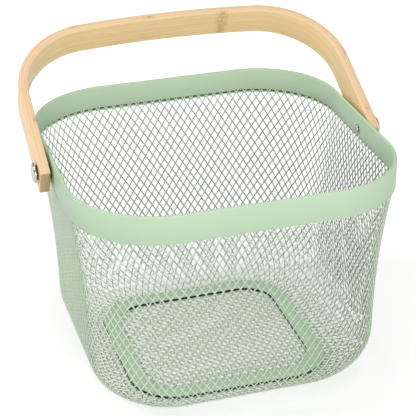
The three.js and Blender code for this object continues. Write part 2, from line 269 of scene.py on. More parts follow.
@dataclass(frozen=True)
class BambooFinish:
    """Laminated bamboo under clear lacquer, with long fibres, ply lines, faint nodes and darker ends."""

    name: str = "bamboo_lacquered"
    pale: tuple[int, int, int] = (248, 219, 168)
    warm: tuple[int, int, int] = (236, 200, 142)
    line: tuple[int, int, int] = (192, 148, 98)
    edge: tuple[int, int, int] = (222, 188, 151)
    node: tuple[int, int, int] = (188, 138, 82)
    end_grain: tuple[int, int, int] = (168, 140, 98)
    ply: float = 2.6
    ply_shift: float = 61.0
    node_spacing: float = 236.0
    node_offset: float = 131.5
    node_width: float = 6.4
    strip_end: float = 0.0
    half_strip: float = 0.0

    def material(self) -> bpy.types.Material:
        """Build the material once and return it."""
        if self.name in bpy.data.materials:
            return bpy.data.materials[self.name]
        material = bpy.data.materials.new(self.name)
        material.use_nodes = True
        sheet = NodeSheet(material.node_tree)
        shader = material.node_tree.nodes["Principled BSDF"]
        shader.inputs["Coat Weight"].default_value = 0.12
        shader.inputs["Coat Roughness"].default_value = 0.25
        strip = sheet.add("ShaderNodeAttribute", attribute_name="strip")
        parts = sheet.add("ShaderNodeSeparateXYZ")
        sheet.join(strip.outputs["Vector"], parts.inputs["Vector"])
        along, across, through = parts.outputs

        fibre = sheet.noise(sheet.stretch(strip.outputs["Vector"], (0.022, 1.6, 1.6)), 1.0, 4.0)
        streak = sheet.noise(sheet.stretch(strip.outputs["Vector"], (0.012, 0.4, 0.5)), 1.0, 2.0)
        fine, broad = sheet.maths("MULTIPLY", fibre, 0.65), sheet.maths("MULTIPLY", streak, 0.35)
        tone = sheet.maths("ADD", fine, broad)
        wood = sheet.mix(sheet.ramp(tone, 0.4, 0.6, 0.0, 1.0), linear(*self.pale), linear(*self.warm))

        plies = sheet.maths("ADD", sheet.maths("DIVIDE", through, self.ply), 0.5)
        from_middle = sheet.maths("ABSOLUTE", through)
        seam = sheet.maths("ABSOLUTE", sheet.maths("SUBTRACT", from_middle, self.ply / 2))
        glue = sheet.ramp(seam, 0.1, 0.55, 0.4, 0.0)
        wood = sheet.mix(glue, wood, linear(*self.line))
        brink = sheet.maths("ABSOLUTE", across)
        side = sheet.ramp(brink, self.half_strip - 0.9, self.half_strip - 0.4, 0.0, 0.6)
        wood = sheet.mix(side, wood, linear(*self.edge))

        waver = sheet.noise(sheet.stretch(strip.outputs["Vector"], (0.05, 0.2, 0.2)), 1.0)
        bend = sheet.maths("MULTIPLY", waver, 4.0)
        shift = sheet.maths("MULTIPLY", sheet.maths("FLOOR", plies), self.ply_shift)
        moved = sheet.maths("ADD", shift, self.node_offset)
        place = sheet.maths("ADD", sheet.maths("ADD", along, bend), moved)
        part = sheet.maths("FRACT", sheet.maths("DIVIDE", place, self.node_spacing))
        beat = sheet.maths("ABSOLUTE", sheet.maths("SUBTRACT", part, 0.5))
        gap = sheet.maths("MULTIPLY", beat, self.node_spacing)
        halo = sheet.ramp(gap, 0.6, self.node_width, 0.75, 0.0)
        blotch = sheet.noise(sheet.stretch(strip.outputs["Vector"], (0.35, 0.5, 0.5)), 1.0)
        smudge = sheet.maths("MULTIPLY", halo, sheet.ramp(blotch, 0.36, 0.64, 0.2, 1.0))
        wood = sheet.mix(smudge, wood, linear(*self.node))

        reach = sheet.maths("ABSOLUTE", along)
        tip = sheet.ramp(reach, self.strip_end - 0.9, self.strip_end - 0.2, 0.0, 0.85)
        wood = sheet.mix(tip, wood, linear(*self.end_grain))
        sheet.join(wood, shader.inputs["Base Color"])

        sheet.join(sheet.ramp(tone, 0.35, 0.65, 0.36, 0.5), shader.inputs["Roughness"])
        bump = sheet.add("ShaderNodeBump")
        bump.inputs["Strength"].default_value = 0.25
        bump.inputs["Distance"].default_value = 0.1 * MM
        sheet.join(sheet.maths("SUBTRACT", fibre, sheet.maths("MULTIPLY", glue, 0.5)), bump.inputs["Height"])
        sheet.join(bump.outputs["Normal"], shader.inputs["Normal"])
        return material


SAGE_PAINT = CoatFinish(
    name="sage_powder_coat",
    colour=(190, 214, 184),
    shade=(184, 209, 178),
    roughness=0.46,
    bump=0.12,
)
# Painted light and shade: the band's sage paint made lighter for the thin strands, with a grey painted shade
# on their inner faces and a green painted shade on their shaded sides.
MESH_PAINTED_LIGHT_AND_SHADE = CoatFinish(
    name="sage_mesh_coat",
    colour=(220, 236, 214),
    shade=(214, 231, 208),
    roughness=0.5,
    bump=0.1,
    hollow=(166, 171, 166),
    flank=(143, 162, 139),
)
# Painted shade: a dark green for the inside of the rim's fold, standing for the shadow in the gap between its
# leaves.
FOLD_PAINTED_SHADE = CoatFinish(
    name="thin_coat_in_fold",
    colour=(78, 92, 74),
    shade=(68, 81, 64),
    roughness=0.6,
    cloud_scale=40.0,
    bump=0.1,
)
# Painted shade: a near-black green for the ring's edges and underside, standing for the shadow in the gap
# under the ring.
RING_EDGE_PAINTED_SHADE = CoatFinish(
    name="bare_cut_edge",
    colour=(44, 50, 42),
    shade=(34, 39, 33),
    roughness=0.6,
    cloud_scale=60.0,
    bump=0.1,
)
BRIGHT_STEEL = CoatFinish(
    name="bright_steel",
    colour=(196, 193, 187),
    shade=(182, 179, 173),
    roughness=0.27,
    metallic=1.0,
    specular=0.5,
    cloud_scale=120.0,
    grain_scale=2400.0,
    bump=0.05,
)
# Painted shade: a near-black steel for the spacer, standing for the shade in the narrow gap between leg and
# rim.
SPACER_PAINTED_SHADE = CoatFinish(
    name="blackened_steel",
    colour=(58, 57, 54),
    shade=(44, 43, 41),
    roughness=0.5,
    metallic=1.0,
    specular=0.5,
    cloud_scale=200.0,
    grain_scale=3000.0,
    bump=0.1,
)
# Painted shade: a dark brown steel for the washer under each screw head, standing for the shade round the
# head on the bamboo.
HEAD_WASHER_PAINTED_SHADE = CoatFinish(
    name="browned_steel",
    colour=(112, 84, 58),
    shade=(94, 69, 47),
    roughness=0.5,
    metallic=1.0,
    specular=0.5,
    cloud_scale=200.0,
    grain_scale=3000.0,
    bump=0.1,
)


def make_piece(
    name: str, mesh: bmesh.types.BMesh, finish: CoatFinish | BambooFinish, body: Body
) -> bpy.types.Object:
    """Turn a bmesh in metres into a piece that rides on a body.

    Args:
        name: Name of the piece.
        mesh: The finished bmesh, which is freed.
        finish: Finish of the whole piece.
        body: CAD body that it moves with.

    Returns:
        The new object, at the origin.
    """
    data = bpy.data.meshes.new(name)
    mesh.to_mesh(data)
    mesh.free()
    data.materials.append(finish.material())
    piece = bpy.data.objects.new(name, data)
    bpy.context.scene.collection.objects.link(piece)
    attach(piece, body.value)
    log.info("%s: %d vertices, %d faces, on %s", name, len(data.vertices), len(data.polygons), body.value)
    return piece


def shade_smooth(mesh: bmesh.types.BMesh, sharp_above: float = 180.0) -> None:
    """Shade every face smooth, with edges over this angle in degrees kept sharp."""
    for face in mesh.faces:
        face.smooth = True
    limit = math.radians(sharp_above)
    for edge in mesh.edges:
        edge.smooth = not (edge.is_manifold and edge.calc_face_angle(0.0) > limit)


def round_edges(
    mesh: bmesh.types.BMesh, edges: list[bmesh.types.BMEdge], radius: float, segments: int
) -> None:
    """Round these edges to a radius, in the units of the mesh, with this many facets."""
    bmesh.ops.bevel(
        mesh,
        geom=edges,
        offset=radius,
        offset_type="OFFSET",
        affect="EDGES",
        segments=segments,
        profile=0.5,
        material=-1,
        clamp_overlap=True,
    )


def bore_through(mesh: bmesh.types.BMesh, place: Vector, radius: float, steps: int) -> None:
    """Drill a round hole along X through every flat wall that stands across it.

    Args:
        mesh: Mesh with pairs of flat faces, one pair for each wall.
        place: A point on the hole's axis, in the units of the mesh.
        radius: Radius of the hole, in the units of the mesh.
        steps: Facets round the hole.
    """

    def holds(face: bmesh.types.BMFace) -> bool:
        """Tell whether a face stands across the axis and reaches past the hole on all sides."""
        spans = [[vert.co[axis] for vert in face.verts] for axis in (1, 2)]
        middles = (place.y, place.z)
        wide = all(min(s) < at - radius and max(s) > at + radius for s, at in zip(spans, middles))
        return wide and abs(face.normal.x) > 0.999

    walls = sorted((face for face in mesh.faces if holds(face)), key=lambda face: face.verts[0].co.x)
    for near, far in list(zip(walls[0::2], walls[1::2])):
        start, end = near.verts[0].co.x, far.verts[0].co.x
        spot = Matrix.Translation((start, place.y, place.z)) @ Matrix.Rotation(math.pi / 2, 4, "Y")
        circle = bmesh.ops.create_circle(mesh, segments=steps, radius=radius, matrix=spot)["verts"]
        mouth = list({edge for vert in circle for edge in vert.link_edges})
        pulled = bmesh.ops.extrude_edge_only(mesh, edges=mouth)["geom"]
        ends = [item for item in pulled if isinstance(item, bmesh.types.BMVert)]
        bmesh.ops.translate(mesh, verts=ends, vec=(end - start, 0.0, 0.0))
        exit_edges = [item for item in pulled if isinstance(item, bmesh.types.BMEdge)]
        for face, ring in ((near, mouth), (far, exit_edges)):
            border = face.edges[:]
            normal = face.normal.copy()
            bmesh.ops.delete(mesh, geom=[face], context="FACES_ONLY")
            bmesh.ops.triangle_fill(mesh, edges=border + ring, use_beauty=True, normal=normal)
    bmesh.ops.recalc_face_normals(mesh, faces=mesh.faces[:])


@dataclass(frozen=True)
class TubForm:
    """Shape of the tub that rim, mesh and ring share, measured inwards from the outside of the rim."""

    width: float = 245.0
    depth: float = 240.0
    height: float = 180.0
    rim_corner: float = 66.0
    pivot_drop: float = 12.0
    pivot_bore: float = 2.35
    bore_steps: int = 24
    ring_inset: float = 43.5
    ring_corner: float = 37.5
    band: float = 21.5
    mesh_inset: float = 1.4
    mesh_tuck: float = 6.0
    wall_inset: float = 11.6
    flare_height: float = 100.0
    bend_radius: float = 35.0
    floor_height: float = 0.6
    mesh_end: float = 51.0

    def corner_radius(self, inset: float) -> float:
        """Corner radius of the outline at this inset."""
        return self.rim_corner - (self.rim_corner - self.ring_corner) / self.ring_inset * inset

    def inset_at(self, point: Vector, corner: float) -> float:
        """Find how far a point lies inwards from the outside of the rim.

        Args:
            point: Point in millimetres.
            corner: Corner radius at inset 0 of the outlines that are measured across.

        Returns:
            The inset in millimetres.
        """
        past_x = abs(point.x) - self.width / 2 + corner
        past_y = abs(point.y) - self.depth / 2 + corner
        reach = math.hypot(past_x, past_y) if min(past_x, past_y) > 0 else max(past_x, past_y)
        return corner - reach

    def outline(self, inset: float, turn: float, side_share: float) -> Vector:
        """Find a point on the outline of the tub.

        Args:
            inset: Distance inwards from the outside of the rim.
            turn: Place round the tub from 0 to 4, one unit for a side and its corner, from the right.
            side_share: Part of each unit that lies on the flat side.

        Returns:
            The point in millimetres, at height 0.
        """
        radius = self.corner_radius(inset)
        flat_x = self.width / 2 - inset - radius
        flat_y = self.depth / 2 - inset - radius
        unit = int(math.floor(turn)) % 4
        along = turn - math.floor(turn)
        out, half = (flat_x, flat_y) if unit % 2 == 0 else (flat_y, flat_x)
        if along < side_share:
            point = Vector((out + radius, half * (2 * along / side_share - 1), 0.0))
        else:
            angle = math.pi / 2 * (along - side_share) / (1 - side_share)
            point = Vector((out + radius * math.cos(angle), half + radius * math.sin(angle), 0.0))
        return Matrix.Rotation(unit * math.pi / 2, 3, "Z") @ point

    @cached_property
    def profile(self) -> list[tuple[float, float, float]]:
        """The wall's middle line as (run, inset, height) points from the rim down to the floor ring."""
        foot = self.height - self.band
        lift = self.floor_height
        line = [(self.mesh_inset, foot + self.mesh_tuck)]
        for step in range(61):
            share = step / 60
            one, two, three = (1 - share) ** 2, 2 * share * (1 - share), share**2
            inset = one * self.mesh_inset + (two + three) * self.wall_inset
            height = one * foot + two * self.flare_height + three * (self.bend_radius + lift)
            line.append((inset, height))
        for step in range(1, 41):
            angle = math.pi / 2 * step / 40
            inset = self.wall_inset + self.bend_radius * (1 - math.cos(angle))
            line.append((inset, lift + self.bend_radius * (1 - math.sin(angle))))
        line.append((self.mesh_end, lift))
        run = 0.0
        points = [(run, *line[0])]
        for before, after in zip(line, line[1:]):
            run += math.dist(before, after)
            points.append((run, *after))
        return points

    @property
    def profile_length(self) -> float:
        """Length of the wall's middle line."""
        return self.profile[-1][0]

    @property
    def bend_run(self) -> float:
        """Length down the wall's middle line at which the bottom bend begins."""
        return next(run for run, _, height in self.profile if height <= self.bend_radius + self.floor_height)

    def on_wall(self, turn: float, run: float, out: float, side_share: float) -> Vector:
        """Find a point on or beside the wall's middle line.

        Args:
            turn: Place round the tub, as for outline.
            run: Length down the wall from the mesh's top edge.
            out: Distance outwards from the middle line.
            side_share: Part of each turn unit that lies on the flat side.

        Returns:
            The point in metres.
        """
        points = self.profile
        last = len(points) - 2
        low, high = 0, last
        while low < high:
            middle = (low + high + 1) // 2
            if points[middle][0] <= run:
                low = middle
            else:
                high = middle - 1
        (run_a, inset_a, height_a), (run_b, inset_b, height_b) = points[low], points[low + 1]
        share = (run - run_a) / (run_b - run_a)
        inset = inset_a + share * (inset_b - inset_a)
        height = height_a + share * (height_b - height_a)
        step_in, step_down = (inset_b - inset_a) / (run_b - run_a), (height_b - height_a) / (run_b - run_a)
        base = self.outline(inset, turn, side_share)
        inwards = (self.outline(inset + 1.0, turn, side_share) - base).normalized()
        place = base + inwards * (step_down * out)
        place.z = height - step_in * out
        return place * MM


def sweep_round(
    mesh: bmesh.types.BMesh, form: TubForm, section: list[tuple[float, float]], corner: float, steps: int
) -> None:
    """Carry a closed section round the tub by extruding it along each side and spinning it round each corner.

    Args:
        mesh: Empty bmesh that takes the ring, in metres.
        form: Shape of the tub.
        section: Closed section as (inset, height) points in millimetres.
        corner: Corner radius at inset 0.
        steps: Facets in each corner.
    """
    flat_x = form.width / 2 - corner
    flat_y = form.depth / 2 - corner
    half_width = form.width / 2
    points = [Vector((half_width - inset, -flat_y, height)) * MM for inset, height in section]
    start = [mesh.verts.new(point) for point in points]
    loop = [mesh.edges.new((a, b)) for a, b in zip(start, start[1:] + start[:1])]
    directions = (Vector((0, 1, 0)), Vector((-1, 0, 0)), Vector((0, -1, 0)), Vector((1, 0, 0)))
    centres = ((flat_x, flat_y), (-flat_x, flat_y), (-flat_x, -flat_y), (flat_x, -flat_y))
    for index, (direction, centre) in enumerate(zip(directions, centres)):
        length = 2 * (flat_y if index % 2 == 0 else flat_x)
        pulled = bmesh.ops.extrude_edge_only(mesh, edges=loop)["geom"]
        corners = [item for item in pulled if isinstance(item, bmesh.types.BMVert)]
        bmesh.ops.translate(mesh, verts=corners, vec=direction * length * MM)
        loop = [item for item in pulled if isinstance(item, bmesh.types.BMEdge)]
        turned = bmesh.ops.spin(
            mesh,
            geom=corners + loop,
            cent=Vector((centre[0], centre[1], 0.0)) * MM,
            axis=(0, 0, 1),
            angle=math.pi / 2,
            steps=steps,
        )["geom_last"]
        loop = [item for item in turned if isinstance(item, bmesh.types.BMEdge)]
    bmesh.ops.remove_doubles(mesh, verts=mesh.verts[:], dist=0.02 * MM)
    bmesh.ops.recalc_face_normals(mesh, faces=mesh.faces[:])


@dataclass
class RimBand:
    """Strip of sheet folded over the top edge of the mesh."""

    form: TubForm
    outer_leaf: float = 21.5
    inner_leaf: float = 18.0
    sheet: float = 0.6
    thick: float = 2.7
    thin_to: float = 20.3
    fold_steps: int = 8
    corner_steps: int = 32

    def section(self) -> list[tuple[float, float]]:
        """Section of the fold as (inset, height) points, round at the top and eased at both lower edges."""
        top = self.form.height
        outer, inner = self.thick / 2, self.thick / 2 - self.sheet
        crown = top - outer
        ease = self.sheet * 0.3
        points = [(ease, top - self.outer_leaf), (0.0, top - self.outer_leaf + ease)]
        for step in range(self.fold_steps + 1):
            angle = math.pi * (1 - step / self.fold_steps)
            points.append((outer + outer * math.cos(angle), crown + outer * math.sin(angle)))
        foot = top - self.inner_leaf
        points += [(self.thick, foot + ease), (self.thick - ease, foot), (self.thick - self.sheet, foot)]
        for step in range(self.fold_steps + 1):
            angle = math.pi * step / self.fold_steps
            points.append((outer + inner * math.cos(angle), crown + inner * math.sin(angle)))
        points += [(self.sheet, top - self.thin_to), (self.sheet, top - self.outer_leaf)]
        return points

    def in_fold(self, point: Vector) -> bool:
        """Tell whether a point of the sheet, in millimetres, faces the gap between the two leaves, where the
        painted shade goes.
        """
        if point.z < self.form.height - self.thin_to:
            return False
        middle = self.thick / 2
        aside = self.form.inset_at(point, self.form.rim_corner) - middle
        above = max(point.z - self.form.height + middle, 0.0)
        return math.hypot(aside, above) < middle - self.sheet / 2

    def build(self) -> bpy.types.Object:
        """Build the folded band, with painted shade inside its fold, and return it."""
        mesh = bmesh.new()
        form = self.form
        sweep_round(mesh, form, self.section(), form.rim_corner, self.corner_steps)
        pivot = Vector((0.0, 0.0, form.height - form.pivot_drop)) * MM
        bore_through(mesh, pivot, form.pivot_bore * MM, form.bore_steps)
        # Faces inside the fold take the painted shade.
        for face in mesh.faces:
            face.material_index = 1 if self.in_fold(face.calc_center_median() / MM) else 0
        shade_smooth(mesh, 50.0)
        band = make_piece("rim_fold", mesh, SAGE_PAINT, Body.BASKET)
        band.data.materials.append(FOLD_PAINTED_SHADE.material())
        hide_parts("rim_band")
        return band


@dataclass
class BaseRing:
    """Flat strip that lies on the mesh floor."""

    form: TubForm
    width: float = 13.3
    sheet: float = 2.5
    under: float = 0.9
    ease: float = 0.25
    corner_steps: int = 24

    def build(self) -> bpy.types.Object:
        """Build the ring with eased edges and painted shade on its edges and underside, and return it."""
        mesh = bmesh.new()
        low, high = self.under, self.under + self.sheet
        near, far = self.form.ring_inset, self.form.ring_inset + self.width
        section = [(near, low), (near, high), (far, high), (far, low)]
        corner = self.form.ring_inset + self.form.ring_corner
        sweep_round(mesh, self.form, section, corner, self.corner_steps)
        sharp = [edge for edge in mesh.edges if edge.calc_face_angle(0.0) > math.radians(60)]
        round_edges(mesh, sharp, self.ease * MM, 2)
        # The underside and the edges take the painted shade.
        for face in mesh.faces:
            face.material_index = 1 if face.normal.z < 0.3 else 0
        shade_smooth(mesh, 40.0)
        ring = make_piece("floor_ring", mesh, SAGE_PAINT, Body.BASKET)
        ring.data.materials.append(RING_EDGE_PAINTED_SHADE.material())
        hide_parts("base_ring")
        return ring


def weave_diamonds(mesh: bmesh.types.BMesh, strand: float) -> None:
    """Turn a net of squares into strands round diamonds.

    Each square is poked, the old edges go, and what is left between four squares is a diamond. The strands
    then take the place of the edges.

    Args:
        mesh: Net of squares.
        strand: Thickness of a strand, in the units of the mesh.
    """
    rails = mesh.edges[:]
    bmesh.ops.poke(mesh, faces=mesh.faces[:])
    inner = [edge for edge in rails if edge.is_valid and len(edge.link_faces) == 2]
    bmesh.ops.dissolve_edges(mesh, edges=inner, use_verts=False)
    bmesh.ops.wireframe(
        mesh,
        faces=mesh.faces[:],
        thickness=strand,
        offset=0.0,
        use_replace=True,
        use_boundary=True,
        use_even_offset=True,
    )


@dataclass
class DiamondMesh:
    """Painted diamond mesh of the tub, as a wall drawn round the profile and a flat floor inside the ring."""

    form: TubForm
    wall_nodes: list[str]
    side_columns: int = 17
    corner_columns: int = 15
    rows: int = 19
    pitch: float = 6.3
    strand: float = 1.03
    strand_depth: float = 1.07
    tilt: float = 0.15
    # The strands' painted shade fades in over rim_fade below the fold and falls to floor_shade over the bend
    # and on the floor.
    rim_fade: float = 4.0
    floor_pitch: float = 6.6
    floor_row: float = 8.0
    floor_edge: float = 54.0
    floor_strand: float = 1.0
    floor_depth: float = 1.2
    floor_tilt: float = 1.3
    floor_shade: float = 0.75

    @staticmethod
    def inner_shade_share(outwards: float, onwards: float) -> float:
        """How far an inner face of a strand with this direction gets painted shade, from 0 to 1."""
        return min(max(0.58 - 0.4 * outwards - 0.45 * onwards, 0.0), 1.0)

    @staticmethod
    def flank_shade_share(outwards: float, onwards: float, upwards: float) -> float:
        """How far an outer face of a strand with this direction gets painted shade as a shaded side, from 0
        to 1.
        """
        falling = onwards * upwards
        return min(max(0.38 - 0.25 * outwards - 0.5 * onwards + 1.1 * falling, 0.0), 1.0)

    def build_wall(self) -> bpy.types.Object:
        """Weave the wall as a plain tube, draw it round the tub's profile, and return it."""
        form = self.form
        unit = self.side_columns + self.corner_columns
        columns = 4 * unit
        side_share = self.side_columns / unit
        length = form.profile_length
        radius = columns * self.pitch / math.tau
        mesh = bmesh.new()
        bmesh.ops.create_cone(
            mesh, cap_ends=False, segments=columns, radius1=radius, radius2=radius, depth=length
        )
        uprights = [edge for edge in mesh.edges if abs(edge.verts[0].co.z - edge.verts[1].co.z) > 1.0]
        bmesh.ops.subdivide_edges(mesh, edges=uprights, cuts=self.rows - 1, use_grid_fill=True)
        weave_diamonds(mesh, self.strand)
        bmesh.ops.recalc_face_normals(mesh, faces=mesh.faces[:])
        hollow = mesh.faces.layers.float.new("hollow")
        flank = mesh.faces.layers.float.new("flank")
        # Painted shade: each strand face gets a share of a darker tone by the way it leans, grey on inner
        # faces and green on outer sides, faded in below the fold and towards the floor.
        for face in mesh.faces:
            middle = face.calc_center_median()
            outwards = Vector((middle.x, middle.y, 0.0)).normalized()
            onwards = Vector((-outwards.y, outwards.x, 0.0))
            run = length / 2 - middle.z
            below_rim = min(max((run - form.mesh_tuck) / self.rim_fade, 0.0), 1.0)
            into_bend = min(max((run - form.bend_run) / (length - form.bend_run), 0.0), 1.0)
            fade = below_rim * (1 + (self.floor_shade - 1) * into_bend)
            lean_out, lean_on = face.normal.dot(outwards), face.normal.dot(onwards)
            if lean_out < 0:
                shade = fade * self.inner_shade_share(lean_out, lean_on)
                face[hollow] = shade * (1 - into_bend)
                face[flank] = shade * into_bend
            else:
                face[flank] = fade * self.flank_shade_share(lean_out, lean_on, face.normal.z)
        stretch = self.strand_depth / self.strand
        for vert in mesh.verts:
            flat = math.hypot(vert.co.x, vert.co.y)
            out = (flat - radius) * stretch
            turn = (math.atan2(vert.co.y, vert.co.x) / math.tau * 4) % 4
            run = length / 2 - vert.co.z + self.tilt * out
            vert.co = form.on_wall(turn, min(max(run, 0.0), length), out, side_share)
        bmesh.ops.recalc_face_normals(mesh, faces=mesh.faces[:])
        shade_smooth(mesh)
        wall = make_piece("mesh_wall", mesh, MESH_PAINTED_LIGHT_AND_SHADE, Body.BASKET)
        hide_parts(*self.wall_nodes)
        return wall

    def build_floor(self) -> bpy.types.Object:
        """Weave the flat floor, trim it to the ring, and return it."""
        form = self.form
        across = math.ceil((form.width - 2 * self.floor_edge) / self.floor_pitch)
        along = math.ceil((form.depth - 2 * self.floor_edge) / self.floor_row)
        mesh = bmesh.new()
        bmesh.ops.create_grid(mesh, x_segments=across, y_segments=along, size=0.5)
        spread = Vector((across * self.floor_pitch, along * self.floor_row, 1.0))
        bmesh.ops.scale(mesh, vec=spread, verts=mesh.verts[:])
        corner = self.floor_edge + form.corner_radius(self.floor_edge)
        outside = []
        for face in mesh.faces:
            if form.inset_at(face.calc_center_median(), corner) < self.floor_edge:
                outside.append(face)
        bmesh.ops.delete(mesh, geom=outside, context="FACES")
        weave_diamonds(mesh, self.floor_strand)
        bmesh.ops.recalc_face_normals(mesh, faces=mesh.faces[:])
        hollow = mesh.faces.layers.float.new("hollow")
        # Painted shade on the floor's strands, by the way each face leans.
        for face in mesh.faces:
            face[hollow] = self.floor_shade * self.inner_shade_share(face.normal.z, face.normal.x)
        stretch = self.floor_depth / self.floor_strand
        for vert in mesh.verts:
            up = vert.co.z * stretch
            place = Vector((vert.co.x, vert.co.y + self.floor_tilt * up, self.floor_depth / 2 + up))
            vert.co = place * MM
        bmesh.ops.recalc_face_normals(mesh, faces=mesh.faces[:])
        shade_smooth(mesh)
        floor = make_piece("mesh_floor_net", mesh, MESH_PAINTED_LIGHT_AND_SHADE, Body.BASKET)
        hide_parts("mesh_floor")
        return floor


@dataclass
class BambooHandle:
    """Strip of laminated bamboo bent to a wide arch, leaning back on its pivots."""

    form: TubForm
    strip: float = 23.5
    thick: float = 7.5
    leg: float = 128.35
    reach: float = 131.5
    corner: float = 62.0
    crown: float = 850.0
    tail: float = 11.0
    tail_corner: float = 2.5
    lean: float = 64.0
    ease: float = 0.9
    bend_steps: int = 28
    crown_steps: int = 16

    @property
    def crown_lean(self) -> float:
        """Angle from the crown's middle to the point where it runs into a bend."""
        return math.asin((self.leg - self.corner) / (self.crown - self.corner))

    @property
    def crown_centre(self) -> float:
        """Height of the crown's centre in the plane of the arch, from the pivots."""
        return self.reach - self.crown

    @property
    def bend_height(self) -> float:
        """Height of the bends' centres in the plane of the arch, from the pivots."""
        return self.crown_centre + (self.crown - self.corner) * math.cos(self.crown_lean)

    @property
    def half_length(self) -> float:
        """Length along the strip from the crown's middle to the end of a tail."""
        bend = self.corner * (math.pi / 2 - self.crown_lean)
        return self.tail + self.bend_height + bend + self.crown * self.crown_lean

    def place_on_strip(self, point: Vector) -> Vector:
        """Find where a point of the arch lies on the straight strip.

        Args:
            point: Point in the plane of the arch, in millimetres, with the pivots on the X axis.

        Returns:
            Length along the strip from the crown's middle, place across it, and place through its thickness.
        """
        side = 1.0 if point.x >= 0 else -1.0
        x, y = abs(point.x), point.y
        bend_x = self.leg - self.corner
        quarter = math.pi / 2 - self.crown_lean
        if y <= self.bend_height:
            run, through = self.tail + y, x - self.leg
        else:
            angle = math.atan2(y - self.bend_height, x - bend_x)
            if angle <= quarter:
                run = self.tail + self.bend_height + self.corner * angle
                through = math.hypot(x - bend_x, y - self.bend_height) - self.corner
            else:
                sweep = math.atan2(x, y - self.crown_centre)
                run = self.half_length - self.crown * sweep
                through = math.hypot(x, y - self.crown_centre) - self.crown
        return Vector((side * (self.half_length - run), point.z, through))

    def carry_along(self, mesh: bmesh.types.BMesh) -> None:
        """Carry the strip's section along the arch: leg, bend, crown, bend and leg, and close both ends."""
        half_thick, half_strip = self.thick / 2, self.strip / 2
        near, far = self.leg - half_thick, self.leg + half_thick
        corners = ((near, -half_strip), (far, -half_strip), (far, half_strip), (near, half_strip))
        start = [mesh.verts.new((out, -self.tail, deep)) for out, deep in corners]
        first = mesh.faces.new(start)
        loop = first.edges[:]
        height = self.bend_height
        quarter = math.pi / 2 - self.crown_lean
        bend_x = self.leg - self.corner
        turns = (
            (Vector((bend_x, height, 0.0)), quarter, self.bend_steps),
            (Vector((0.0, self.crown_centre, 0.0)), 2 * self.crown_lean, self.crown_steps),
            (Vector((-bend_x, height, 0.0)), quarter, self.bend_steps),
        )
        loop = self.pull(mesh, loop, Vector((0.0, self.tail + height, 0.0)))
        for centre, angle, steps in turns:
            corners_now = list({vert for edge in loop for vert in edge.verts})
            turned = bmesh.ops.spin(
                mesh, geom=corners_now + loop, cent=centre, axis=(0, 0, 1), angle=angle, steps=steps
            )["geom_last"]
            loop = [item for item in turned if isinstance(item, bmesh.types.BMEdge)]
        loop = self.pull(mesh, loop, Vector((0.0, -self.tail - height, 0.0)))
        bmesh.ops.contextual_create(mesh, geom=loop)
        bmesh.ops.recalc_face_normals(mesh, faces=mesh.faces[:])

    @staticmethod
    def pull(
        mesh: bmesh.types.BMesh, loop: list[bmesh.types.BMEdge], way: Vector
    ) -> list[bmesh.types.BMEdge]:
        """Extrude a loop of edges along a straight way and return the new loop."""
        pulled = bmesh.ops.extrude_edge_only(mesh, edges=loop)["geom"]
        ends = [item for item in pulled if isinstance(item, bmesh.types.BMVert)]
        bmesh.ops.translate(mesh, verts=ends, vec=way)
        return [item for item in pulled if isinstance(item, bmesh.types.BMEdge)]

    def ease_edges(self, mesh: bmesh.types.BMesh) -> None:
        """Round the corners of the tails, then ease every sharp edge."""
        ends = [edge for edge in mesh.edges if all(vert.co.y < 0.01 - self.tail for vert in edge.verts)]
        tips = [edge for edge in ends if abs(edge.verts[0].co.z - edge.verts[1].co.z) < 0.01]
        round_edges(mesh, tips, self.tail_corner, 6)
        sharp = [edge for edge in mesh.edges if edge.calc_face_angle(0.0) > math.radians(50)]
        round_edges(mesh, sharp, self.ease, 3)

    def build(self) -> bpy.types.Object:
        """Build the handle in its own plane, lean it back on the pivots, and return it."""
        mesh = bmesh.new()
        self.carry_along(mesh)
        self.ease_edges(mesh)
        bore_through(mesh, Vector(), self.form.pivot_bore, self.form.bore_steps)
        strip = mesh.verts.layers.float_vector.new("strip")
        for vert in mesh.verts:
            vert[strip] = self.place_on_strip(vert.co)
        lift = Matrix.Translation((0.0, 0.0, (self.form.height - self.form.pivot_drop) * MM))
        lean = Matrix.Rotation(math.pi / 2 - math.radians(self.lean), 4, "X")
        bmesh.ops.transform(mesh, matrix=lift @ lean @ Matrix.Scale(MM, 4), verts=mesh.verts[:])
        shade_smooth(mesh, 40.0)
        finish = BambooFinish(strip_end=self.half_length, half_strip=self.strip / 2)
        handle = make_piece("bamboo_arch", mesh, finish, Body.HANDLE)
        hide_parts("handle")
        return handle


